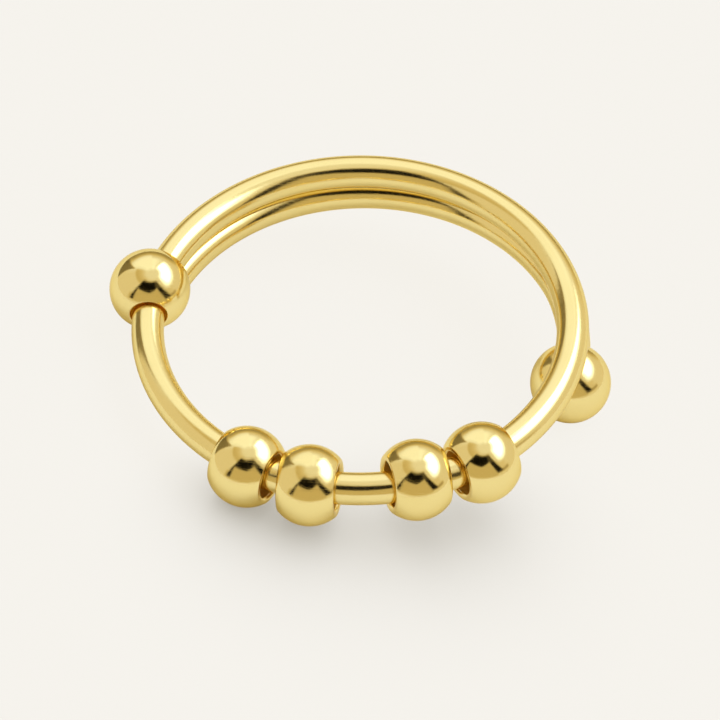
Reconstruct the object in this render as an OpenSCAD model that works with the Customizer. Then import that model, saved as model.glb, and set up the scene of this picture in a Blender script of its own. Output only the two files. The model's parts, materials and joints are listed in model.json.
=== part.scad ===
// Finger ring of polished gold-coloured wire with four loose beads.
// A closed hoop goes round the finger. A second wire is soldered under its back, from a
// fixed stop ball on the left to an end ball on the right, which hangs just under the hoop.
// Four drilled beads slide along the hoop's front, between the two balls.
// The ring lies on a table as it does by itself: on the back wire's start, the end ball and bead 1.

/* [Hoop] */
// Inside diameter of the hoop, where the finger goes
finger_d = 16.9; // [16.9, 18, 19]
// Diameter of the round wire
wire_d = 1.4; // [1.3:0.05:1.45]

/* [Back wire] */
// Gap between the two wires, which the solder bridges
wire_gap = 0.02; // [0.01:0.01:0.05]
// Amount by which the back wire's circle is wider than the hoop's
back_wider = 0.05; // [0:0.01:0.08]
// Distance of the back wire's circle to the right of the hoop's
back_shift = 0.15; // [0:0.01:0.2]
// Bearing at which the back wire starts, sunk in the stop ball
back_start = 160; // [159:1:161]
// Bearing at which the back wire bends down and away from the hoop
tail_bearing = 25; // [20:1:32]
// Bend radius of that last stretch
tail_r = 6.75; // [6.5:0.05:7]
// Lean of its bend below the hoop's plane
tail_lean = 35; // [34:0.5:37]
// Angle that it turns through before it reaches the end ball
tail_turn = 44; // [43:0.5:46]
// Width of the solder seam between the wires
seam_w = 0.5; // [0.4:0.05:0.7]

/* [Balls] */
// Diameter of the stop ball, the end ball and the beads
ball_d = 3.5; // [3.45:0.05:3.7]
// Bearing of the stop ball
stop_bearing = 165.8; // [165:0.1:168]
// Distance of the stop ball's middle outside the hoop's middle line
stop_out = 0.22; // [0.1:0.01:0.3]
// Bearing at which the stop ball's hole runs along the hoop
mouth_bearing = 177; // [175:0.5:179]
// Diameter of that hole
mouth_d = 1.6; // [1.6:0.01:1.8]
// Depth of the open hole round the wire, before the solder
mouth_depth = 0.6; // [0.3:0.05:0.8]

/* [Beads] */
// Length of a bead between its flat ends
bead_len = 2.5; // [2.4:0.01:2.54]
// Diameter of a bead's bore
bead_bore = 1.94; // [1.94:0.01:2]
// Radius of the rounded rim round a bead's flat ends
rim_r = 0.12; // [0.06:0.01:0.14]
// Radius of the rounded edge at the mouths of the bore
mouth_r = 0.15; // [0.1:0.01:0.16]

/* [Hidden] */
$fn = 96;

// How each bead lies on the wire, which has play in its bore: its bearing, how far its middle is
// below and inside the wire's middle line, its turn in plan and the rise of its right end
BEARING = 0;
BELOW = 1;
INSIDE = 2;
TURN = 3;
RISE = 4;
BEADS = [
    [238, 0.14, 0, 3, 1.5],
    [256.2, 0.06, 0, 3.5, 3],
    [285, -0.12, 0.08, 1, -4.5],
    [304, 0.14, 0, -3, -1.5],
];

GOLD = [0.89, 0.76, 0.42];
PALE_GOLD = [0.93, 0.81, 0.50];

wire_r = wire_d / 2;
ball_r = ball_d / 2;
hoop_r = finger_d / 2 + wire_r;
back_r = hoop_r + back_wider;
back_z = -wire_d - wire_gap;
// What ends inside a length of wire is a hair thinner than the wire
inner_r = wire_r - 0.01;
tail_overlap = 1;
seam_h = wire_d / 2;
seam_margin = 7;

// A point at a bearing on a circle round the hoop's axis, counted from the right of the ring
function at(r, bearing, z) = [r * cos(bearing), r * sin(bearing), z];

stop_at = at(hoop_r + stop_out, stop_bearing, 0);
hole_at = at(hoop_r, mouth_bearing, 0);
stop_along = (stop_at - hole_at) * at(1, mouth_bearing + 90, 0);
rim_along = stop_along + sqrt(pow(ball_r, 2) - pow(mouth_d / 2, 2));
start_at = at(back_r, back_start, back_z) + [back_shift, 0, 0];
tail_at = at(back_r, tail_bearing, back_z) + [back_shift, 0, 0];
tail_in = tail_r * (1 - cos(tail_turn));
end_at = tail_at - at(tail_in * cos(tail_lean), tail_bearing, tail_in * sin(tail_lean))
    - at(tail_r * sin(tail_turn), tail_bearing + 90, 0);
bead_at = [for (b = BEADS) at(hoop_r - b[INSIDE], b[BEARING], -b[BELOW])];

// The table touches three round ends: the back wire's start, the end ball and bead 1
start_leg = start_at - bead_at[0];
end_leg = end_at - bead_at[0];
legs_cross = cross(end_leg, start_leg);
table_lean = (wire_r - ball_r) * cross(legs_cross, end_leg) / (legs_cross * legs_cross);
table_up = table_lean + legs_cross / norm(legs_cross) * sqrt(1 - table_lean * table_lean);
tilt = acos(table_up.z);
tilt_cross = cross(table_up, [0, 0, 1]);
tilt_axis = tilt_cross / norm(tilt_cross);

// A point of the level ring after the ring is tilted to lie on the table
function tilted(p) = p * cos(tilt) + cross(tilt_axis, p) * sin(tilt)
    + tilt_axis * (tilt_axis * p) * (1 - cos(tilt));

// The origin is on the table, under the middle of the whole ring
hoop_axis = tilted([0, 0, 1]);
circle_reach = sqrt(1 - pow(hoop_axis.y, 2));
x_low = tilted(stop_at).x - ball_r;
x_high = tilted(end_at).x + ball_r;
y_low = min([for (p = bead_at) tilted(p).y]) - ball_r;
y_high = tilted([back_shift, 0, back_z]).y + back_r * circle_reach + wire_r;
origin = [(x_low + x_high) / 2, (y_low + y_high) / 2, tilted(end_at).z - ball_r];

module lying() {
    translate(-origin) rotate(a = tilt, v = tilt_axis) children();
}

// A bent round wire in the level plane, from one bearing to another
module bent_wire(bend_r, thick_r, from, to) {
    rotate([0, 0, from]) rotate_extrude(angle = to - from)
        translate([bend_r, 0]) circle(r = thick_r);
}

module hoop() {
    rotate_extrude() translate([hoop_r, 0]) circle(r = wire_r);
}

// The back wire has a rounded start and a tail that bends down to the end ball
module back_wire() {
    translate([back_shift, 0, back_z])
        bent_wire(back_r, wire_r, tail_bearing, back_start);
    translate(start_at) sphere(r = inner_r);
    translate(tail_at) rotate([0, -tail_lean, tail_bearing]) translate([-tail_r, 0, 0])
        bent_wire(tail_r, inner_r, -tail_turn, tail_overlap);
}

// Solder that fills the groove where the wires run side by side
module seam() {
    from = tail_bearing + seam_margin;
    to = back_start - seam_margin;
    rotate([0, 0, from]) rotate_extrude(angle = to - from)
        translate([hoop_r + back_wider - seam_w / 2, back_z / 2 - seam_h / 2])
        square([seam_w, seam_h]);
}

// The stop ball, with a ring of its drilled hole left open round the wire
module stop_ball() {
    difference() {
        translate(stop_at) sphere(r = ball_r);
        translate(hole_at) rotate([-90, 0, mouth_bearing])
            translate([0, 0, rim_along - mouth_depth]) cylinder(d = mouth_d, h = ball_d);
    }
}

// The hoop, the back wire and the two balls are soldered, so they are one solid
module band() {
    color(GOLD) lying() union() {
        hoop();
        back_wire();
        seam();
        stop_ball();
        translate(end_at) sphere(r = ball_r);
    }
}

// Half section of a bead: x is the distance from the bore's middle line, y runs along it
module bead_section() {
    half = bead_len / 2;
    bore_r = bead_bore / 2;
    rim_y = half - rim_r;
    rim_x = sqrt(pow(ball_r - rim_r, 2) - pow(rim_y, 2));
    blend_y = rim_y * ball_r / (ball_r - rim_r);
    // The bore's wall ends where its rounded mouths begin, so only this strip reaches the bore
    translate([bore_r, -half + mouth_r]) square([rim_x - bore_r, bead_len - 2 * mouth_r]);
    intersection() {
        circle(r = ball_r);
        translate([bore_r + mouth_r, -blend_y]) square([ball_r, 2 * blend_y]);
    }
    translate([bore_r + mouth_r, -half]) square([rim_x - bore_r - mouth_r, bead_len]);
    for (side = [-1, 1]) {
        translate([rim_x, side * rim_y]) circle(r = rim_r);
        translate([bore_r + mouth_r, side * (half - mouth_r)]) circle(r = mouth_r);
    }
}

// A loose bead on the hoop, with its bore along the wire
module bead(i) {
    color(PALE_GOLD) lying() translate(bead_at[i])
        rotate([90 + BEADS[i][RISE], 0, BEADS[i][BEARING] + BEADS[i][TURN]])
        rotate_extrude() bead_section();
}

module bead_1() { bead(0); }
module bead_2() { bead(1); }
module bead_3() { bead(2); }
module bead_4() { bead(3); }

band();
bead_1();
bead_2();
bead_3();
bead_4();
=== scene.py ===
import json
import math
from collections import namedtuple

import bmesh
import bpy
from mathutils import Matrix, Vector


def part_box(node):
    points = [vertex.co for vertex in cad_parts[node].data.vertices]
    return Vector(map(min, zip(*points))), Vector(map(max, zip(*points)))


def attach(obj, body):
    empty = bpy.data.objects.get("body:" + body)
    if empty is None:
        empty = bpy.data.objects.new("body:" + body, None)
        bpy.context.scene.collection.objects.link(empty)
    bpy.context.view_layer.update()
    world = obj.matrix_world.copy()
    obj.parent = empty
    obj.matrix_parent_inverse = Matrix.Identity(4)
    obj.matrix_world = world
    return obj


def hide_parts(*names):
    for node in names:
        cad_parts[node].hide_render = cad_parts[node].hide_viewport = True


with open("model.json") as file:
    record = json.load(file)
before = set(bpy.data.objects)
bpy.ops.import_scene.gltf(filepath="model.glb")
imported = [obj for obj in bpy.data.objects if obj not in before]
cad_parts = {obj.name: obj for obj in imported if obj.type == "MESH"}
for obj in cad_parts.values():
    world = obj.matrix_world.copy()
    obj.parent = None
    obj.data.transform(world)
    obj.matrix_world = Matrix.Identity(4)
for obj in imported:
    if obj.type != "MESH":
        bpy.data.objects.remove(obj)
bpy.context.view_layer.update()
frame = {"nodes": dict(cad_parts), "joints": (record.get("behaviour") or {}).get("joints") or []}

bl_info = {
    "name": "Beaded Ring",
    "version": (1, 0, 0),
    "blender": (4, 5, 0),
    "location": "View3D > Sidebar > Beaded Ring",
    "description": "Builds a polished gold wire ring with four sliding beads, and a plain studio",
    "category": "Add Mesh",
}

MM = 0.001
PHOTO_SIDE = 720
ROOT = "band"
BEAD_NAMES = ["bead_1", "bead_2", "bead_3", "bead_4"]
# The collections of the pieces that shade the lamp, and of what it lights
SHADED_BY = "lamp_shaded_by"
LIT_BY = "lit_by_lamp"

# The beads slide about the hoop's axis, so any of their joints gives the hoop's centre and tilt
HOOP_CENTRE = Vector(frame["joints"][0]["pos_m"])
HOOP_AXIS = Vector(frame["joints"][0]["axis"]).normalized()
TILT = Vector((0, 0, 1)).rotation_difference(HOOP_AXIS)


# Sizes and colours that a user would change

def length(name, about, size):
    """A length property in metres, shown in the scene's own unit."""
    return bpy.props.FloatProperty(name=name, description=about, default=size, min=0, precision=6,
                                   subtype="DISTANCE", unit="LENGTH")


def bearing(name, about, degrees):
    """A bearing round the hoop or another angle."""
    return bpy.props.FloatProperty(name=name, description=about, default=math.radians(degrees),
                                   subtype="ANGLE", unit="ROTATION")


def tint(name, about, rgb):
    """A linear colour."""
    return bpy.props.FloatVectorProperty(name=name, description=about, default=rgb, size=3,
                                         min=0, soft_max=1, subtype="COLOR")


def amount(name, about, value):
    """A plain number."""
    return bpy.props.FloatProperty(name=name, description=about, default=value, min=0)


class RingSizes(bpy.types.PropertyGroup):
    """The ring's driving sizes, as in the CAD model but for the solder's section and the hole's edge."""
    finger_d: length("Inside diameter", "Inside diameter of the hoop", 16.9 * MM)
    wire_d: length("Wire", "Diameter of the round wire", 1.4 * MM)
    wire_gap: length("Wire gap", "Gap between the wires, filled with solder", 0.02 * MM)
    back_wider: length("Back wider", "How much wider the back wire's circle is", 0.05 * MM)
    back_shift: length("Back shift", "How far right the back wire's circle lies", 0.15 * MM)
    back_start: bearing("Back start", "Bearing where the back wire starts", 160)
    tail_bearing: bearing("Tail bearing", "Bearing where the back wire bends down", 25)
    tail_r: length("Tail radius", "Bend radius of the tail", 6.75 * MM)
    tail_lean: bearing("Tail lean", "Lean of the tail's bend below the hoop", 35)
    tail_turn: bearing("Tail turn", "Angle that the tail turns through", 44)
    seam_w: length("Solder seam", "Width of the solder where it meets the wires", 0.56 * MM)
    seam_waist: amount("Seam waist", "Share of its width that the solder keeps between the wires", 0.72)
    seam_margin: bearing("Seam margin", "How far the solder stops short of the wire's ends", 7)
    ball_d: length("Ball", "Diameter of the balls and beads", 3.5 * MM)
    stop_bearing: bearing("Stop bearing", "Bearing of the stop ball", 165.8)
    stop_out: length("Stop out", "Distance of the stop ball outside the hoop", 0.22 * MM)
    mouth_bearing: bearing("Hole bearing", "Bearing of the stop ball's hole", 177)
    mouth_d: length("Hole", "Diameter of the stop ball's hole", 1.6 * MM)
    mouth_depth: length("Hole depth", "Depth of the open hole round the wire", 0.6 * MM)
    hole_edge: length("Hole edge", "Radius of the edge at the stop ball's hole", 0.05 * MM)
    bead_len: length("Bead length", "Length of a bead between its flat ends", 2.5 * MM)
    bead_bore: length("Bead bore", "Diameter of a bead's bore", 1.94 * MM)
    rim_r: length("Rim", "Radius of the rim round a bead's ends", 0.12 * MM)
    mouth_r: length("Bore edge", "Radius of the rounded edge at a bore's mouths", 0.15 * MM)


class RingFinish(bpy.types.PropertyGroup):
    """Colours, polish and wear of the metal."""
    wire_gold: tint("Wire gold", "Colour of the polished wire", (0.93, 0.75, 0.31))
    bead_gold: tint("Bead gold", "Colour of the polished balls and beads", (0.93, 0.75, 0.31))
    edge_gold: tint("Edge gold", "Tint of the metal where it is seen edge-on", (0.9, 0.8, 0.55))
    rub_gold: tint("Rubbed gold", "Colour where the plating is rubbed", (0.90, 0.74, 0.38))
    bare_brass: tint("Bare brass", "Colour inside the holes, where no polish reaches", (0.95, 0.74, 0.25))
    wire_polish: amount("Wire polish", "Roughness of the drawn and polished wire", 0.13)
    ball_polish: amount("Ball polish", "Roughness of the polished balls and beads", 0.085)
    worn_polish: amount("Worn polish", "Roughness of the rubbed edges", 0.2)
    bare_polish: amount("Bare polish", "Roughness inside the holes", 0.42)
    scratch_depth: length("Scratch depth", "Depth of the finest scratches", 0.0004 * MM)
    ripple_depth: length("Ripple depth", "Depth of the shallow ripples that polishing leaves", 0.002 * MM)
    slide_wear: amount("Slide wear", "How rubbed the wire is where the beads slide", 0.12)
    solder_wear: amount("Solder wear", "How dull the solder is", 0.5)
    bead_wear: amount("Bead wear", "How rubbed the beads' rims and mouths are", 0.55)


class StudioLight(bpy.types.PropertyGroup):
    """The studio round the ring."""
    floor_tint: tint("Floor", "Colour of the paper floor", (0.04, 0.04, 0.04))
    floor_glow: tint("Floor glow", "Light that comes through the paper floor", (0.411, 0.386, 0.333))
    mirrored_tint: tint("Mirrored floor", "Colour of the floor in the metal's reflections", (0.8, 0.78, 0.74))
    mirrored_glow: tint("Mirrored glow", "Light from the floor in the reflections", (0.15, 0.155, 0.12))
    backdrop: tint("Backdrop", "Colour of the paper behind the ring", (0.92, 0.897, 0.838))
    wall_light: tint("Wall light", "Colour of the walls where they are bright", (0.98, 1.01, 1.08))
    wall_shade: tint("Wall shade", "Colour of the walls where they are in shade", (1, 0.83, 0.48))
    softbox_tint: tint("Softbox tint", "Colour of the brightest light", (0.95, 1.06, 1.3))
    tent: amount("Tent", "Brightness of the pale walls all round", 0.81)
    softbox: amount("Softbox", "Extra brightness of the soft light on the right", 2.7)
    lamp: amount("Lamp", "Strength of the wide soft lamp overhead, in watts per square metre", 38)
    lamp_width: bearing("Lamp width", "Angle that the wide lamp fills, as the ring sees it", 122)
    lamp_lean: bearing("Lamp lean", "Lean of the lamp from overhead towards the back", 13)


def settings():
    """The scene's own copies of the three groups."""
    scene = bpy.context.scene
    return scene.ring_sizes, scene.ring_finish, scene.studio_light


# Shader maths

class Value:
    """A shader socket that holds a number. Arithmetic on it adds Math nodes."""

    def __init__(self, tree, socket):
        self.tree = tree
        self.socket = socket

    def __add__(self, other):
        return self.tree.math("ADD", self, other)

    def __radd__(self, other):
        return self.tree.math("ADD", other, self)

    def __sub__(self, other):
        return self.tree.math("SUBTRACT", self, other)

    def __rsub__(self, other):
        return self.tree.math("SUBTRACT", other, self)

    def __mul__(self, other):
        return self.tree.math("MULTIPLY", self, other)

    def __rmul__(self, other):
        return self.tree.math("MULTIPLY", other, self)

    def __abs__(self):
        return self.tree.math("ABSOLUTE", self)

    def above(self, edge, soft):
        """1 where the value is above the edge and 0 below it, with a smooth step as wide as soft."""
        return self.tree.node("ShaderNodeMapRange", {"interpolation_type": "SMOOTHSTEP"},
                              {"Value": self, "From Min": edge - soft / 2, "From Max": edge + soft / 2})

    def below(self, edge, soft):
        """1 where the value is below the edge and 0 above it."""
        return 1 - self.above(edge, soft)


class Tree:
    """A node tree that starts empty."""

    def __init__(self, tree):
        self.tree = tree
        tree.nodes.clear()

    def node(self, kind, options=None, inputs=None, output=0):
        """Adds a node, sets its options and then its sockets, and gives one output as a Value."""
        node = self.tree.nodes.new(kind)
        for name, option in (options or {}).items():
            setattr(node, name, option)
        pairs = inputs.items() if isinstance(inputs, dict) else enumerate(inputs or [])
        for name, value in pairs:
            if isinstance(value, Value):
                self.tree.links.new(value.socket, node.inputs[name])
            else:
                node.inputs[name].default_value = value
        return Value(self, node.outputs[output]) if len(node.outputs) else None

    def math(self, operation, *numbers):
        """The result of a Math node."""
        return self.node("ShaderNodeMath", {"operation": operation}, numbers)

    def mix(self, factor, a, b):
        """Colour a where the factor is 0 and b where it is 1."""
        # A Mix node has sockets for each kind of data, and these are its colour ones
        return self.node("ShaderNodeMix", {"data_type": "RGBA"}, {0: factor, 6: a, 7: b}, output=2)

    def axes(self, vector):
        """The three numbers of a vector."""
        split = self.node("ShaderNodeSeparateXYZ", inputs=[vector]).socket.node
        return [Value(self, number) for number in split.outputs]

    def placed(self, vector, **places):
        """A vector after it has been moved, turned or stretched."""
        return self.node("ShaderNodeMapping", {"vector_type": "POINT"}, {"Vector": vector, **places})

    def noise(self, place, cells, detail):
        """Smooth noise with so many cells to a unit of place."""
        return self.node("ShaderNodeTexNoise", inputs={"Vector": place, "Scale": cells, "Detail": detail})


def opaque(rgb, darker=(1, 1, 1)):
    """A colour with alpha 1, from a property or three numbers, and darker by a share of each."""
    return tuple(c * share for c, share in zip(rgb, darker)) + (1,)


# Curves and surfaces, worked out level in the hoop's plane and then laid as the ring lies

def at(radius, angle, height):
    """A point at a bearing round the hoop's axis, counted from the right of the ring."""
    return Vector((radius * math.cos(angle), radius * math.sin(angle), height))


def laid(point):
    """A point of the level ring after the ring is tilted to lie on the table."""
    return HOOP_CENTRE + TILT @ point


def evenly(start, end, steps):
    """Numbers from start to end in even steps, both included."""
    return [start + (end - start) * i / steps for i in range(steps + 1)]


def arc(centre, radius, start, end, steps):
    """Points of a circular arc, both ends included."""
    return [(centre[0] + radius * math.cos(a), centre[1] + radius * math.sin(a))
            for a in evenly(start, end, steps)]


def circle(radius, sides):
    """Points of a round section."""
    return arc((0, 0), radius, 0, 2 * math.pi, sides)[:-1]


def grid_faces(rows, columns, closed=False):
    """Quads between rows of points. Each row is a ring, and if closed the last row joins the first."""
    faces = []
    for i in range(rows if closed else rows - 1):
        below, above = i * columns, (i + 1) % rows * columns
        for j in range(columns):
            k = (j + 1) % columns
            faces.append((below + j, below + k, above + k, above + j))
    return faces


def close_ends(vertices, faces, columns, first_tip, last_tip):
    """Closes the first and the last row of a grid, each with triangles that meet at its tip."""
    last_row = len(vertices) - columns
    for start, tip, turn in ((0, first_tip, -1), (last_row, last_tip, 1)):
        middle = len(vertices)
        vertices.append(tip)
        for j in range(columns):
            rim = (start + j, start + (j + 1) % columns)
            faces.append((middle,) + rim[::turn])


def swept(centres, frames, section, closed=False, first_tip=None):
    """A closed surface: the section carried along the centres, each with its two cross axes.

    Its first end closes at first_tip, or flat if that isn't given.
    """
    vertices = [c + u * x + v * y for c, (u, v) in zip(centres, frames) for x, y in section]
    faces = grid_faces(len(centres), len(section), closed)
    if not closed:
        close_ends(vertices, faces, len(section), first_tip or centres[0], centres[-1])
    return vertices, faces


def round_hoop(radius, height, bearings):
    """Centres at bearings on a circle round the hoop's axis, and the two cross axes at each."""
    return ([laid(at(radius, b, height)) for b in bearings],
            [(TILT @ at(1, b, 0), HOOP_AXIS) for b in bearings])


def frames_along(centres, up):
    """Two cross axes at each point of an open curve, turned as little as possible."""
    frames = []
    u = None
    for before, after in zip(centres[:1] + centres, centres[1:] + centres[-1:]):
        ahead = (after - before).normalized()
        side = up.cross(ahead) if u is None else u - ahead * u.dot(ahead)
        u = side.normalized()
        frames.append((u, ahead.cross(u)))
    return frames


def turned(profile_at, sides, origin, along, across):
    """Points of a surface round an axis, row by row, and how many rows they make.

    profile_at(angle) gives the section at that angle as (out, along) pairs, from pole to pole.
    """
    third = along.cross(across)
    columns = []
    for angle in evenly(0, 2 * math.pi, sides)[:-1]:
        outward = across * math.cos(angle) + third * math.sin(angle)
        columns.append([origin + outward * out + along * up for out, up in profile_at(angle)])
    rows = list(zip(*columns))
    return [point for row in rows for point in row], len(rows)


def per_point(shares, columns):
    """A number for each point of a grid, from one for each of its rows."""
    return [share for share in shares for _ in range(columns)]


class RingForm:
    """The ring's places and directions, worked out from its sizes as the CAD model does."""

    def __init__(self, s):
        self.wire_r = s.wire_d / 2
        self.ball_r = s.ball_d / 2
        self.hoop_r = s.finger_d / 2 + self.wire_r
        self.back_r = self.hoop_r + s.back_wider
        self.back_z = -s.wire_d - s.wire_gap
        self.back_centre = Vector((s.back_shift, 0, self.back_z))
        self.stop_at = at(self.hoop_r + s.stop_out, s.stop_bearing, 0)
        self.hole_at = at(self.hoop_r, s.mouth_bearing, 0)
        self.tail_at = self.back_centre + at(self.back_r, s.tail_bearing, 0)

    def tail_point(self, s, turn):
        """A point of the tail after it has turned by an angle from the back wire's arc."""
        inwards = s.tail_r * (1 - math.cos(turn))
        onwards = s.tail_r * math.sin(turn)
        sunk = at(inwards * math.cos(s.tail_lean), s.tail_bearing, inwards * math.sin(s.tail_lean))
        return self.tail_at - sunk - at(onwards, s.tail_bearing + math.pi / 2, 0)


# Materials

# Noise cells to a millimetre, and levels of finer detail
DRIFT = {"cells": 0.35, "detail": 2}
RIPPLE = {"cells": 2.4, "detail": 1}
GRAIN = {"cells": 14, "detail": 3}
# Noise cells to a metre in the paper's tooth
TOOTH = {"cells": 9000, "detail": 3}
NOISE_MEAN = 0.5

# Hairline scratches run three ways: how each is turned, and how many times longer than wide
Hairline = namedtuple("Hairline", "turn stretch")
HAIRLINES = [
    Hairline((0.3, 0.2, 0.5), 9),
    Hairline((1.1, -0.6, 2.0), 12),
    Hairline((-0.7, 1.3, 3.4), 10),
]
# How near its mean the noise is on a hairline, and how soft the hairline's edge is
HAIRLINE_CREST = (0.008, 0.012)

# The drift above which scratches gather and the gold is warmer, and how soft each change is
SCRATCHED_DRIFT = (0.45, 0.3)
WARM_DRIFT = (0.5, 0.5)
# How far the colour turns to the warmer gold, and where it is rubbed, to the rubbed gold
WARM_SHARE = 0.5
WARM_CAST = (0.97, 0.95, 0.88)
RUB_SHARE = 0.8
# How much each pattern adds to the roughness
ROUGH_GRAIN = 0.03
ROUGH_DRIFT = 0.015
ROUGH_SCRATCH = 0.05
# The grain's depth as a share of a scratch's
GRAIN_RELIEF = 1.1

# How far the tooth turns the paper's colour to a darker one
TOOTH_SHARE = 0.03
TOOTH_CAST = (0.9, 0.9, 0.9)
PAPER_ROUGHNESS = 0.9


def hairlines(tree, place, size):
    """Fine scratches: noise drawn out three ways, with only its thin crests kept."""
    lines = 0
    for way in HAIRLINES:
        across = way.stretch / size
        drawn = tree.placed(place, Rotation=way.turn, Scale=(1 / size, across, across))
        streak = tree.noise(drawn, cells=1, detail=1)
        lines = lines + abs(streak - NOISE_MEAN).below(*HAIRLINE_CREST)
    return lines


def gold(name, colour, polish, finish, scratch_size, seed):
    """Polished gold plating: faint colour drift, ripples, hairline scratches, rubbed edges, bare holes.

    The scratch size is the length of their pattern's cells in millimetres. The seed shifts all patterns.
    """
    material = bpy.data.materials.new(name)
    material.use_nodes = True
    tree = Tree(material.node_tree)
    place = tree.placed(tree.node("ShaderNodeTexCoord", output="Object"),
                        Location=(seed, seed / 2, seed / 3), Scale=(1 / MM, 1 / MM, 1 / MM))
    drift = tree.noise(place, **DRIFT)
    grain = tree.noise(place, **GRAIN)
    ripple = tree.noise(place, **RIPPLE)
    rubbed = tree.node("ShaderNodeAttribute", {"attribute_name": "wear"}, output="Fac")
    bare = tree.node("ShaderNodeAttribute", {"attribute_name": "bare"}, output="Fac")
    scratches = hairlines(tree, place, scratch_size) * drift.above(*SCRATCHED_DRIFT)

    warm = drift.above(*WARM_DRIFT) * WARM_SHARE
    surface = tree.mix(warm, opaque(colour), opaque(colour, WARM_CAST))
    surface = tree.mix(rubbed * RUB_SHARE, surface, opaque(finish.rub_gold))
    surface = tree.mix(bare, surface, opaque(finish.bare_brass))
    rough = (polish + grain * ROUGH_GRAIN + drift * ROUGH_DRIFT + scratches * ROUGH_SCRATCH
             + rubbed * (finish.worn_polish - polish) + bare * (finish.bare_polish - polish))
    ripple_relief = finish.ripple_depth / finish.scratch_depth
    relief = grain * GRAIN_RELIEF - scratches + ripple * ripple_relief
    bump = tree.node("ShaderNodeBump", inputs={"Strength": 1.0, "Distance": finish.scratch_depth,
                                               "Height": relief})
    shader = tree.node("ShaderNodeBsdfPrincipled", inputs={
        "Base Color": surface, "Metallic": 1.0, "Roughness": rough, "Normal": bump,
        "Specular Tint": opaque(finish.edge_gold)})
    tree.node("ShaderNodeOutputMaterial", inputs={"Surface": shader})
    return material


def paper(name, colour, glow):
    """Matt pale paper, with a faint tooth and light that comes through it from below."""
    material = bpy.data.materials.new(name)
    material.use_nodes = True
    tree = Tree(material.node_tree)
    tooth = tree.noise(tree.node("ShaderNodeTexCoord", output="Object"), **TOOTH)
    shade = tree.mix(tooth * TOOTH_SHARE, opaque(colour), opaque(colour, TOOTH_CAST))
    shader = tree.node("ShaderNodeBsdfPrincipled", inputs={
        "Base Color": shade, "Roughness": PAPER_ROUGHNESS, "Specular IOR Level": 0.0,
        "Emission Color": opaque(glow), "Emission Strength": 1.0})
    tree.node("ShaderNodeOutputMaterial", inputs={"Surface": shader})
    return material


# Pieces

def collection(name):
    """The collection of that name, which is made if it isn't there yet."""
    return bpy.data.collections.get(name) or bpy.data.collections.new(name)


def new_piece(name, vertices, faces, body, material, wear=None, bare=None):
    """A smooth piece that rides on a body, with how worn and how unpolished it is at each vertex."""
    mesh = bpy.data.meshes.new(name)
    mesh.from_pydata([tuple(v) for v in vertices], [], faces)
    mesh.validate()
    mesh.shade_smooth()
    for label, shares in (("wear", wear), ("bare", bare)):
        attribute = mesh.attributes.new(label, "FLOAT", "POINT")
        attribute.data.foreach_set("value", shares or [0.0] * len(vertices))
    mesh.materials.append(material)
    piece = bpy.data.objects.new(name, mesh)
    bpy.context.scene.collection.objects.link(piece)
    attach(piece, body)
    return piece


def band_piece(name, vertices, faces, material, wear=None, bare=None):
    """A piece of the soldered band."""
    return new_piece(name, vertices, faces, ROOT, material, wear, bare)


def close_poles(piece):
    """Welds the points that meet at a pole, and turns all faces outwards."""
    weld_distance = 0.00001 * MM
    mesh = piece.data
    shape = bmesh.new()
    shape.from_mesh(mesh)
    bmesh.ops.remove_doubles(shape, verts=shape.verts, dist=weld_distance)
    bmesh.ops.recalc_face_normals(shape, faces=shape.faces)
    shape.to_mesh(mesh)
    shape.free()
    mesh.shade_smooth()


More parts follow.
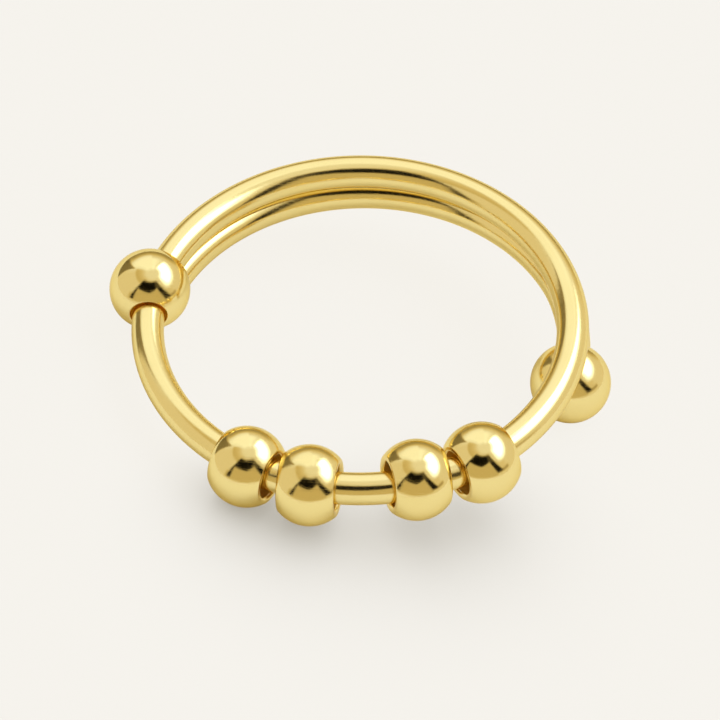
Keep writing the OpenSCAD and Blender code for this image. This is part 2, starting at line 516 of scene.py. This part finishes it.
class RING_OT_wires(bpy.types.Operator):
    """Build the closed hoop, the back wire with its tail and the solder between them"""
    bl_idname = "ring.wires"
    bl_label = "Build the wires"

    wire_sides = 72
    hoop_steps = 512
    back_steps = 192
    tail_steps = 72
    cap_steps = 12
    seam_steps = 170
    flank_steps = 6

    def execute(self, context):
        s, finish, _ = settings()
        form = RingForm(s)
        metal = gold("polished_wire_gold", finish.wire_gold, finish.wire_polish, finish,
                     scratch_size=3.0, seed=3.0)
        hoop = self.hoop(form, finish, metal)
        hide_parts("band")
        self.back_wire(s, form, metal)
        self.seam(s, form, finish, metal)
        return {"FINISHED"}

    def hoop(self, form, finish, metal):
        """The closed hoop, rubbed a little where the beads slide."""
        bearings = evenly(0, 2 * math.pi, self.hoop_steps)[:-1]
        centres, frames = round_hoop(form.hoop_r, 0, bearings)
        vertices, faces = swept(centres, frames, circle(form.wire_r, self.wire_sides), closed=True)
        front = [max(0.0, -math.sin(b)) * finish.slide_wear for b in bearings]
        return band_piece("hoop", vertices, faces, metal, per_point(front, self.wire_sides))

    def back_wire(self, s, form, metal):
        """The second wire: a rounded start, the arc under the hoop and the tail to its ball."""
        level = [form.back_centre + at(form.back_r, b, 0)
                 for b in evenly(s.back_start, s.tail_bearing, self.back_steps)]
        tail = [form.tail_point(s, turn) for turn in evenly(0, s.tail_turn, self.tail_steps)[1:]]
        centres = [laid(p) for p in level + tail]
        frames = frames_along(centres, HOOP_AXIS)
        # The rounded start shrinks the section along a quarter circle
        start, (u, v) = centres[0], frames[0]
        reach = (centres[0] - centres[1]).normalized() * form.wire_r
        cap = evenly(math.pi / 2, 0, self.cap_steps)[1:-1]
        cap_centres = [start + reach * math.sin(a) for a in cap]
        cap_frames = [(u * math.cos(a), v * math.cos(a)) for a in cap]
        vertices, faces = swept(cap_centres + centres, cap_frames + frames,
                                circle(form.wire_r, self.wire_sides), first_tip=start + reach)
        band_piece("back_wire", vertices, faces, metal)

    def seam(self, s, form, finish, metal):
        """Solder in the groove, hollow on both sides, where the wires run side by side."""
        half = s.seam_w / 2
        waist = half * s.seam_waist
        face = form.wire_r - math.sqrt(form.wire_r ** 2 - half ** 2) + s.wire_gap / 2
        # Each flank is a parabola from wire to wire, and inside the wires straight lines join the two
        section = []
        for side in (1, -1):
            for t in evenly(-side, side, self.flank_steps):
                section.append((side * (waist + (half - waist) * t * t) + s.back_wider / 2, -t * face))
        low = s.tail_bearing + s.seam_margin
        high = s.back_start - s.seam_margin
        centres, frames = round_hoop(form.hoop_r, form.back_z / 2, evenly(low, high, self.seam_steps))
        vertices, faces = swept(centres, frames, section)
        band_piece("solder_seam", vertices, faces, metal, [finish.solder_wear] * len(vertices))


class RING_OT_balls(bpy.types.Operator):
    """Build the drilled stop ball and the plain end ball"""
    bl_idname = "ring.balls"
    bl_label = "Build the fixed balls"

    sides = 160
    arc_steps = 96
    edge_steps = 8

    def execute(self, context):
        s, finish, _ = settings()
        form = RingForm(s)
        metal = gold("polished_ball_gold", finish.bead_gold, finish.ball_polish, finish,
                     scratch_size=2.6, seed=11.0)
        self.stop_ball(s, form, metal)
        self.end_ball(s, form, metal)
        return {"FINISHED"}

    def stop_ball(self, s, form, metal):
        """A ball whose hole runs along the hoop, a little off its middle."""
        along = at(1, s.mouth_bearing + math.pi / 2, 0)
        across = at(1, s.mouth_bearing, 0)
        offset = form.stop_at - form.hole_at
        level = form.hole_at + along * offset.dot(along)
        off_out, off_up = offset.dot(across), offset.dot(along.cross(across))
        hole_r = s.mouth_d / 2
        edge_out = hole_r + s.hole_edge
        floor = math.sqrt(form.ball_r ** 2 - hole_r ** 2) - s.mouth_depth

        def profile(angle):
            """From the back pole round the ball, over the hole's edge and down to its floor."""
            middle = off_out * math.cos(angle) + off_up * math.sin(angle)
            aside = off_up * math.cos(angle) - off_out * math.sin(angle)
            r = math.sqrt(form.ball_r ** 2 - aside ** 2)
            edge_up = math.sqrt((r - s.hole_edge) ** 2 - (edge_out - middle) ** 2)
            meets = math.atan2(edge_up, edge_out - middle)
            # The pole lies on the hole's own axis, not on the ball's
            pole = -math.acos(max(-1.0, min(1.0, -middle / r)))
            outer = arc((middle, 0), r, pole, meets, self.arc_steps)
            lip = arc((edge_out, edge_up), s.hole_edge, meets, math.pi, self.edge_steps)
            return outer + lip[1:] + [(hole_r, floor), (0, floor)]

        vertices, rows = turned(profile, self.sides, level, along, across)
        outer_rows = self.arc_steps + 1
        hole_rows = rows - outer_rows - self.edge_steps
        wear = [0.0] * outer_rows + [1.0] * self.edge_steps + [0.0] * hole_rows
        bare = [0.0] * (outer_rows + self.edge_steps) + [1.0] * hole_rows
        piece = band_piece("stop_ball", [laid(v) for v in vertices], grid_faces(rows, self.sides), metal,
                           per_point(wear, self.sides), per_point(bare, self.sides))
        close_poles(piece)

    def end_ball(self, s, form, metal):
        """The plain ball on the tail's end."""
        end = form.tail_point(s, s.tail_turn)
        profile = arc((0, 0), form.ball_r, -math.pi / 2, math.pi / 2, self.arc_steps)
        vertices, rows = turned(lambda angle: profile, self.sides, end, Vector((0, 1, 0)),
                                Vector((0, 0, 1)))
        piece = band_piece("end_ball", [laid(v) for v in vertices], grid_faces(rows, self.sides), metal)
        close_poles(piece)


class RING_OT_beads(bpy.types.Operator):
    """Build the four drilled beads that slide on the hoop"""
    bl_idname = "ring.beads"
    bl_label = "Build the beads"

    sides = 160
    arc_steps = 72
    edge_steps = 8

    def execute(self, context):
        s, finish, _ = settings()
        metal = gold("polished_bead_gold", finish.bead_gold, finish.ball_polish, finish,
                     scratch_size=2.2, seed=27.0)
        for name in BEAD_NAMES:
            self.bead(name, s, finish, metal)
        return {"FINISHED"}

    def bead(self, name, s, finish, metal):
        """A ball drilled through, with flat ends and rounded rims, placed as its CAD solid lies."""
        half = s.bead_len / 2
        ball_r = s.ball_d / 2
        bore_r = s.bead_bore / 2
        rim_y = half - s.rim_r
        rim_x = math.sqrt((ball_r - s.rim_r) ** 2 - rim_y ** 2)
        meets = math.atan2(rim_y, rim_x)
        outer = arc((0, 0), ball_r, -meets, meets, self.arc_steps)
        rim = arc((rim_x, rim_y), s.rim_r, meets, math.pi / 2, self.edge_steps)
        mouth = arc((bore_r + s.mouth_r, half - s.mouth_r), s.mouth_r, math.pi / 2, math.pi,
                    self.edge_steps)
        one_end = rim[1:] + mouth
        other_end = [(x, -y) for x, y in reversed(one_end)]
        profile = outer + one_end + other_end

        low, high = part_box(name)
        middle = (Vector(low) + Vector(high)) / 2
        along = bore_direction(frame["nodes"][name], middle, half)
        across = along.orthogonal().normalized()
        vertices, rows = turned(lambda angle: profile, self.sides, middle, along, across)
        wear = [0.0] * len(outer) + [finish.bead_wear] * len(one_end + other_end)
        # The bore runs between the two rows where the mouths' edges end
        bore_end = len(outer + one_end)
        bare = [1.0 if row in (bore_end - 1, bore_end) else 0.0 for row in range(rows)]
        piece = new_piece("polished_" + name, vertices, grid_faces(rows, self.sides, closed=True), name,
                          metal, per_point(wear, self.sides), per_point(bare, self.sides))
        close_poles(piece)
        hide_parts(name)
        collection(SHADED_BY).objects.link(piece)


def bore_direction(node, middle, half):
    """The direction of a bead's bore: the normal of its flat ends, half a length from its middle."""
    tolerance = half * 0.001
    along = Vector((0, 0, 0))
    for face in node.data.polygons:
        reach = (face.center - middle).dot(face.normal)
        if abs(reach - half) < tolerance and face.normal.x > 0:
            along += face.normal * face.area
    if along.length == 0:
        raise RuntimeError("no flat end found on " + node.name)
    return along.normalized()


# Studio

# One side of a patch of the light tent's walls: where its edge lies and how soft it is, in degrees.
# A slope is how far the edge moves for each degree in the other direction.
Side = namedtuple("Side", "edge soft slope", defaults=[0])
# Left and right are counted from the front of the ring to its right, low and high from the floor
Patch = namedtuple("Patch", "left right low high", defaults=[None] * 4)

FAR_LEFT = Patch(right=Side(-122, 34), low=Side(26, 24), high=Side(76, 16))
FAR_RIGHT = Patch(left=Side(160, 30), low=Side(36, 18), high=Side(78, 14))
ROOF = Patch(low=Side(70, 14))
LEFT_BAND = Patch(Side(-119, 8), Side(-36, 13), Side(46, 5), Side(61, 32))
LEFT_PANEL = Patch(Side(-119, 5), Side(-62, 5), Side(-20, 5), Side(46, 5))
BESIDE_ARCH = Patch(Side(40, 14), Side(74, 14), Side(14, 14), Side(42, 14))
SILL = Patch(Side(50, 6), Side(80, 6), Side(8, 6), Side(15, 6))
# How much brighter than the tent each of these is
CHANGES = [
    (FAR_LEFT, 0.3),
    (FAR_RIGHT, 0.36),
    (ROOF, 0.08),
    (LEFT_BAND, -0.2),
    (LEFT_PANEL, -0.01),
    (BESIDE_ARCH, -0.06),
    (SILL, -0.4),
]

# Each share ending in DIM is how much of the tent's light its patch loses

# A dark wedge at the back left, which rises towards the left side
WEDGE = Patch(Side(-152, 14), Side(-120, 3), high=Side(187.88, 8, slope=1.22))
WEDGE_DIM = 0.72
# The dull foot of the wall behind the ring, the same to the left of its middle as to the right
HORIZON = Patch(left=Side(146, 22), high=Side(17, 22))
HORIZON_DIM = 0.55
# The softbox fades slowly towards the front and ends sharply at the back
SOFTBOX = Patch(Side(68, 38), Side(151, 9), Side(40, 20), Side(68, 16))

# The dark way in at the front: a flat-topped arch with a thin left leg and a wide right one
ARCH = Patch(Side(-57, 4, slope=0.15), Side(67, 6, slope=-0.56),
             Side(4, 5, slope=0.12), Side(64, 8, slope=0.08))
ARCH_DIM = 0.995
# The arch is a little less dark at its right shoulder
SHOULDER = Patch(left=Side(17, 10), low=Side(44, 10))
SHOULDER_LESS = 0.1
OPENING = Patch(Side(-47, 5), Side(50, 6, slope=-0.59))
# The top of the arch's opening is level up to a bend, and rises from there to the right
LINTEL = Side(32, 5, slope=0.52)
LINTEL_BEND = -5
# The inside, which is seen through the opening and in this low stretch at the front
LOW_FRONT = Patch(Side(-62, 8), Side(46, 8), Side(0, 3, slope=0.1), Side(12, 8))
INSIDE_DIM = 0.25

# The levels, each with its softness, where the walls turn from the shade's colour to the light's,
# and from that to the softbox's tint
SHADE_LEVEL = (0.81, 0.38)
GLARE_LEVEL = (1.25, 0.7)


def past(along, across, side):
    """1 where a direction is past one side of a patch and 0 before it."""
    reach = along - across * side.slope if side.slope else along
    return reach.above(side.edge, side.soft)


def within(azimuth, height, patch):
    """1 inside a patch and 0 outside it, with soft edges."""
    share = 1
    if patch.left:
        share = share * past(azimuth, height, patch.left)
    if patch.right:
        share = share * (1 - past(azimuth, height, patch.right))
    if patch.low:
        share = share * past(height, azimuth, patch.low)
    if patch.high:
        share = share * (1 - past(height, azimuth, patch.high))
    return share


def sky(light):
    """A light tent of pale paper round the ring, which the camera sees as a plain backdrop."""
    world = bpy.data.worlds.new("studio_walls")
    world.use_nodes = True
    bpy.context.scene.world = world
    tree = Tree(world.node_tree)
    x, y, z = tree.axes(tree.node("ShaderNodeTexCoord", output="Generated"))
    azimuth = tree.math("ARCTAN2", x, y * -1) * math.degrees(1)
    height = tree.math("ARCSINE", z) * math.degrees(1)

    arch = within(azimuth, height, ARCH)
    # A number and its size add up to nothing left of the bend, and to twice the number right of it
    right_of_bend = azimuth - LINTEL_BEND
    rise = (right_of_bend + abs(right_of_bend)) * (LINTEL.slope / 2)
    opening = within(azimuth, height, OPENING) * (height - rise).below(LINTEL.edge, LINTEL.soft)
    shoulder = within(azimuth, height, SHOULDER)
    dark = arch * (1 - opening) * (ARCH_DIM - shoulder * SHOULDER_LESS)
    # Where the two parts of the inside overlap, a soft step from 0 to 1 holds their sum to 1
    inside = (arch * opening + within(azimuth, height, LOW_FRONT)).above(0.5, 1)

    level = light.tent + sum(within(azimuth, height, patch) * change for patch, change in CHANGES)
    level = level * (1 - inside * INSIDE_DIM) * (1 - within(azimuth, height, WEDGE) * WEDGE_DIM)
    level = level * (1 - within(abs(azimuth), height, HORIZON) * HORIZON_DIM)
    level = (level + within(azimuth, height, SOFTBOX) * light.softbox) * (1 - dark)
    tone = tree.mix(level.below(*SHADE_LEVEL), opaque(light.wall_light), opaque(light.wall_shade))
    tone = tree.mix(level.above(*GLARE_LEVEL), tone, opaque(light.softbox_tint))
    background = tree.node("ShaderNodeBackground", inputs={"Color": tone, "Strength": level})
    seen = tree.node("ShaderNodeBackground", inputs={"Color": opaque(light.backdrop), "Strength": 1.0})
    by_camera = tree.node("ShaderNodeLightPath", output="Is Camera Ray")
    shown = tree.node("ShaderNodeMixShader", inputs=[by_camera, background, seen])
    tree.node("ShaderNodeOutputWorld", inputs={"Surface": shown})


class RING_OT_studio(bpy.types.Operator):
    """Set up the pale floor, the studio light and the camera at the photograph's angle"""
    bl_idname = "ring.studio"
    bl_label = "Build the studio"

    # The camera's place as seen from the level ring, its lens and how near and far it sees
    elevation = math.radians(48.29)
    distance = 387.3 * MM
    lens_mm = 450
    sensor_mm = 36
    roll = math.radians(-0.27)
    clip_near = 10 * MM
    clip_far = 5000 * MM
    # Where the hoop's centre lies in the photograph, in pixels of a 720 pixel side
    centre_right = 360.48
    centre_down = 327.60

    # Radii of the rings of points on the floor, from its edge inwards
    floor_rings = [2200 * MM, 600 * MM, 200 * MM, 60 * MM, 20 * MM]
    floor_sides = 128
    # The sheet that the camera sees lies this much below the one that the metal mirrors
    floor_step = 0.01 * MM
    # The left edge of the floor as the metal mirrors it, from the back towards the front
    edge_back = Vector((-22, 0, 0)) * MM
    edge_front = Vector((-2, -66, 0)) * MM
    bounces = 16

    def execute(self, context):
        _, _, light = settings()
        sky(light)
        self.lamp(light, self.floor(light))
        self.mirrored_floor(light)
        self.camera()
        # Light bounces many times between the beads before it leaves the gold
        context.scene.cycles.max_bounces = self.bounces
        context.scene.cycles.glossy_bounces = self.bounces
        view = context.scene.view_settings
        view.view_transform = "Standard"
        view.look = "None"
        return {"FINISHED"}

    def sheet(self, name, vertices, faces, colour, glow):
        """A sheet of paper that isn't part of the ring."""
        mesh = bpy.data.meshes.new(name)
        mesh.from_pydata([tuple(v) for v in vertices], [], faces)
        mesh.materials.append(paper(name + "_paper", colour, glow))
        floor = bpy.data.objects.new(name, mesh)
        bpy.context.scene.collection.objects.link(floor)
        return floor

    def floor(self, light):
        """The round sheet of pale paper under the ring, which the metal doesn't mirror."""
        vertices = [at(r, angle, -self.floor_step) for r in self.floor_rings
                    for angle in evenly(0, 2 * math.pi, self.floor_sides)[:-1]]
        innermost = len(vertices) - self.floor_sides
        faces = grid_faces(len(self.floor_rings), self.floor_sides)
        faces.append(tuple(range(innermost, len(vertices))))
        floor = self.sheet("paper_floor", vertices, faces, light.floor_tint, light.floor_glow)
        floor.visible_glossy = False
        floor.visible_diffuse = False
        return floor

    def mirrored_floor(self, light):
        """The floor as the metal mirrors it, with the ring's own soft shade on it."""
        reach = self.floor_rings[0]
        along = (self.edge_front - self.edge_back).normalized() * reach
        across = Vector((2 * reach, 0, 0))
        behind, before = self.edge_back - along, self.edge_back + along
        floor = self.sheet("mirrored_floor", [behind, before, before + across, behind + across],
                           [(0, 1, 2, 3)], light.mirrored_tint, light.mirrored_glow)
        floor.visible_camera = False
        floor.visible_diffuse = False
        floor.visible_shadow = False

    def lamp(self, light, floor):
        """A wide soft lamp overhead that lights only the floor, and that only the beads shade."""
        data = bpy.data.lights.new("soft_lamp", "SUN")
        data.angle = light.lamp_width
        data.energy = light.lamp
        # Light found by bounced rays would be shaded by the wires too
        data.cycles.use_multiple_importance_sampling = False
        lamp = bpy.data.objects.new("soft_lamp", data)
        lamp.rotation_euler = (-light.lamp_lean, 0, 0)
        lamp.visible_glossy = False
        lamp.light_linking.blocker_collection = collection(SHADED_BY)
        lamp.light_linking.receiver_collection = collection(LIT_BY)
        collection(LIT_BY).objects.link(floor)
        bpy.context.scene.collection.objects.link(lamp)

    def camera(self):
        """The camera looks along the photograph's line of sight to the ring."""
        back = Vector((0, -math.cos(self.elevation), math.sin(self.elevation)))
        upward = Vector((0, math.sin(self.elevation), math.cos(self.elevation)))
        right = Vector((1, 0, 0))
        pixel = self.distance * self.sensor_mm / self.lens_mm / PHOTO_SIDE
        aim = (right * (PHOTO_SIDE / 2 - self.centre_right)
               + upward * (self.centre_down - PHOTO_SIDE / 2)) * pixel
        sight = (aim - back * self.distance).normalized()
        side = right * math.cos(self.roll) + upward * math.sin(self.roll)
        side = (side - sight * side.dot(sight)).normalized()
        turn = Matrix((side, side.cross(sight), -sight)).transposed().to_quaternion()
        data = bpy.data.cameras.new("photo_camera")
        data.lens = self.lens_mm
        data.sensor_width = self.sensor_mm
        data.clip_start = self.clip_near
        data.clip_end = self.clip_far
        camera = bpy.data.objects.new("photo_camera", data)
        camera.rotation_mode = "QUATERNION"
        camera.location = laid(back * self.distance)
        camera.rotation_quaternion = TILT @ turn
        bpy.context.scene.collection.objects.link(camera)
        bpy.context.scene.camera = camera


class RING_PT_builder(bpy.types.Panel):
    """Lists the ring's operators and settings"""
    bl_idname = "RING_PT_builder"
    bl_label = "Beaded Ring"
    bl_space_type = "VIEW_3D"
    bl_region_type = "UI"
    bl_category = "Beaded Ring"

    def draw(self, context):
        layout = self.layout
        for operator in STEPS:
            layout.operator(operator.bl_idname)
        for group in settings():
            box = layout.box()
            for name in group.__annotations__:
                box.prop(group, name)


GROUPS = {"ring_sizes": RingSizes, "ring_finish": RingFinish, "studio_light": StudioLight}
STEPS = [RING_OT_studio, RING_OT_wires, RING_OT_balls, RING_OT_beads]


def register():
    for cls in list(GROUPS.values()) + STEPS + [RING_PT_builder]:
        bpy.utils.register_class(cls)
    for name, cls in GROUPS.items():
        setattr(bpy.types.Scene, name, bpy.props.PointerProperty(type=cls))


def unregister():
    for name in GROUPS:
        delattr(bpy.types.Scene, name)
    for cls in reversed(list(GROUPS.values()) + STEPS + [RING_PT_builder]):
        bpy.utils.unregister_class(cls)


def main():
    register()
    bpy.ops.ring.studio()
    bpy.ops.ring.wires()
    bpy.ops.ring.balls()
    bpy.ops.ring.beads()


if __name__ == "__main__":
    main()
